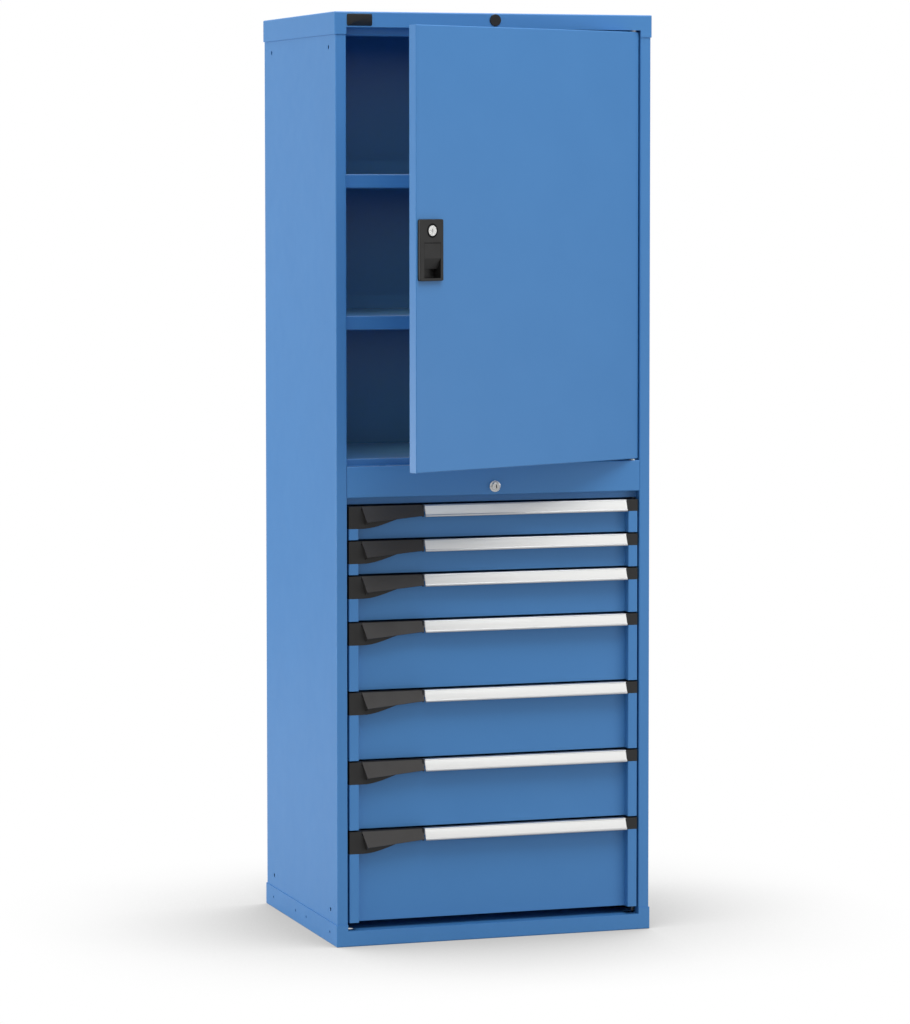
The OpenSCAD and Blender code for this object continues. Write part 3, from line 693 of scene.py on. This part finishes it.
# %% End plates of the recessed rail
LEDGE_FOOT = 966.5 * MM
RECESS_FOOT = 951.5 * MM
RECESS_BACK = -264 * MM
SHEET = 1.5 * MM
BEND = 1.2 * MM
INNER_ROUND = 1.0 * MM
END_X = (307.9 * MM, 332.5 * MM)
# how near to a line an edge has to lie, and how long it has to be
NEAR = 0.05 * MM
PLATE_EDGE = 10 * MM


def recess_end(name, side):
    front = RECESS_BACK - BEND
    back = RECESS_BACK + SHEET
    centre = (side * sum(END_X) / 2, (front + back) / 2, LEDGE_FOOT - SHEET / 2)
    plate = new_block(name, centre, (END_X[1] - END_X[0], back - front, SHEET))
    bpy.ops.object.mode_set(mode="EDIT")
    bpy.ops.mesh.select_all(action="SELECT")
    bpy.ops.mesh.bisect(plane_co=(0, RECESS_BACK, 0), plane_no=(0, 1, 0))
    bpy.ops.mesh.select_all(action="DESELECT")
    bpy.ops.object.mode_set(mode="OBJECT")
    for face in plate.data.polygons:
        face.select = face.normal.z < -0.9 and face.center.y > RECESS_BACK
    bpy.ops.object.mode_set(mode="EDIT")
    bpy.ops.mesh.select_mode(type="FACE")
    drop = LEDGE_FOOT - SHEET - RECESS_FOOT
    bpy.ops.mesh.extrude_region_move(TRANSFORM_OT_translate={"value": (0, 0, -drop)})
    bpy.ops.object.mode_set(mode="OBJECT")
    corner = Vector((0, RECESS_BACK, LEDGE_FOOT - SHEET))
    pick_edges(
        plate,
        lambda a, b: abs(a.x - b.x) > PLATE_EDGE
        and abs(a.y - corner.y) + abs(a.z - corner.z) + abs(b.y - corner.y) < NEAR,
    )
    round_edges(INNER_ROUND, 3)
    finish_piece(plate, coated_blue, BODY_OF["divider"])
    return plate


for name, side in (("recess_end_left", -1), ("recess_end_right", 1)):
    print(name, [round(v / MM, 1) for v in recess_end(name, side).dimensions], "mm")

# %% [markdown]
# ## The studio floor
#
# In the picture the ground is printed pure white, with only a soft shadow close round the base,
# while the drawers get little light from below, so the real floor was greyer than the print. No
# one paint does both. The floor's paint therefore answers the camera with white and all other rays
# with grey. The camera's white carries a painted shadow: it is darkened by ambient occlusion,
# which measures how much of the air within 0.65 m of a point is walled off, and that paints just
# such a soft shadow round whatever stands there.

# %% Floor
FLOOR_SIZE = 60
SHADOW_REACH = 0.65
SHADOW_DEPTH = 0.46
# the share of open air where the shadow is deepest, and where it starts
WALLED_IN, IN_THE_OPEN = 0.5, 0.97
FLOOR_GREY = "#B4B4B4"


def floor_paint():
    material, tree, _ = start_material("studio_white_painted_shadow")
    air = add_node(tree, "AmbientOcclusion", {"Distance": SHADOW_REACH}, samples=16)
    # painted shadow: ambient occlusion darkens the floor's white glow round the base
    shade = add_node(
        tree,
        "MapRange",
        {
            "Value": air.outputs["AO"],
            "From Min": WALLED_IN,
            "From Max": IN_THE_OPEN,
            "To Min": 1 - SHADOW_DEPTH,
            "To Max": 1.0,
        },
    )
    seen = add_node(tree, "Emission", {"Color": shade, "Strength": 1.0})
    grey = add_node(tree, "BsdfDiffuse", {"Color": linear(FLOOR_GREY)})
    ray = add_node(tree, "LightPath")
    paint = add_node(tree, "MixShader", {0: ray.outputs["Is Camera Ray"], 1: grey, 2: seen})
    add_node(tree, "OutputMaterial", {"Surface": paint})
    return material


def studio_floor():
    fresh()
    bpy.ops.mesh.primitive_plane_add(size=FLOOR_SIZE, location=(0, 0, 0))
    floor = bpy.context.object
    floor.name = "studio_floor"
    floor.data.materials.append(floor_paint())
    return floor


print("floor", [round(v) for v in studio_floor().dimensions], "m")

# %% [markdown]
# ## The studio light
#
# The panels' powers could be tried by eye, but light adds up: each panel was lit alone, a
# least-squares fit gave the mixture nearest to the photograph's tones, and only a few powers were
# then moved. The main panel hangs high and far in front, so the open door shades the rail
# and the drawers under it. Low panels at the left and the right lift the foot of the side and of
# the door. The rear panel lights the back, and reflections leave it out, because it would blaze in
# the top of the cap. The room adds an even light, while the camera sees it as white. Glare from
# the white ground lifts the picture's darkest blues towards grey, and a faint warm lamp in each
# bay does the same here.

# %% Room and panels
ROOM_LIGHT = 0.58
WHITE = (1.0, 1.0, 1.0)
WARM = (1.0, 0.72, 0.42)
PANELS = (
    # name, place, aim, width and height in metres, power in watts, colour
    ("main_high", (0.5, -3.8, 6.4), (0, -0.3, 0.9), (3.4, 3.4), 155, WHITE),
    ("front_high", (0.4, -2.2, 4.6), (0, -0.3, 1.2), (2.2, 2.2), 28.5, WHITE),
    ("overhead", (0, 0.2, 4.8), (0, 0, 0), (2.6, 2.6), 60, WHITE),
    ("left_high", (-4.0, 0.4, 3.6), (-0.36, 0, 1.0), (2.2, 2.2), 65, WHITE),
    ("left_low", (-3.4, 0.7, 0.5), (-0.36, 0, 0.8), (1.6, 0.9), 38, WHITE),
    ("right_low", (3.6, -3.4, 0.8), (0.2, -0.3, 0.9), (1.8, 1.2), 25, WHITE),
    ("rear_mid", (1.0, 4.5, 2.6), (0, 0.3, 1.0), (2.5, 2.5), 120, WHITE),
    ("bay_upper", (0, -0.1, 1.94), (0, -0.1, 1.0), (0.4, 0.25), 0.55, WARM),
    ("bay_middle", (0, -0.1, 1.62), (0, -0.1, 1.0), (0.4, 0.25), 0.55, WARM),
    ("bay_lower", (0, -0.1, 1.32), (0, -0.1, 1.0), (0.4, 0.25), 0.55, WARM),
)
NOT_REFLECTED = "rear_mid"


def room():
    world = bpy.data.worlds.new("studio_room")
    world.use_nodes = True
    tree = world.node_tree
    tree.nodes.clear()
    dim = add_node(tree, "Background", {"Color": linear("#FFFFFF"), "Strength": ROOM_LIGHT})
    white = add_node(tree, "Background", {"Color": linear("#FFFFFF"), "Strength": 1.0})
    ray = add_node(tree, "LightPath")
    mixed = add_node(tree, "MixShader", {0: ray.outputs["Is Camera Ray"], 1: dim, 2: white})
    add_node(tree, "OutputWorld", {"Surface": mixed})
    bpy.context.scene.world = world


def light_panel(name, place, aim, size, watts, colour):
    place = Vector(place)
    bpy.ops.object.light_add(type="AREA", location=place)
    panel = bpy.context.object
    panel.name = name
    panel.data.shape = "RECTANGLE"
    panel.data.size, panel.data.size_y = size
    panel.data.energy = watts
    panel.data.color = colour
    panel.rotation_euler = (Vector(aim) - place).to_track_quat("-Z", "Y").to_euler()
    panel.visible_camera = False
    panel.visible_glossy = name != NOT_REFLECTED


room()
for panel in PANELS:
    light_panel(*panel)
bpy.context.scene.view_settings.view_transform = "Standard"
print("room", ROOM_LIGHT, "and", len(PANELS), "panels")
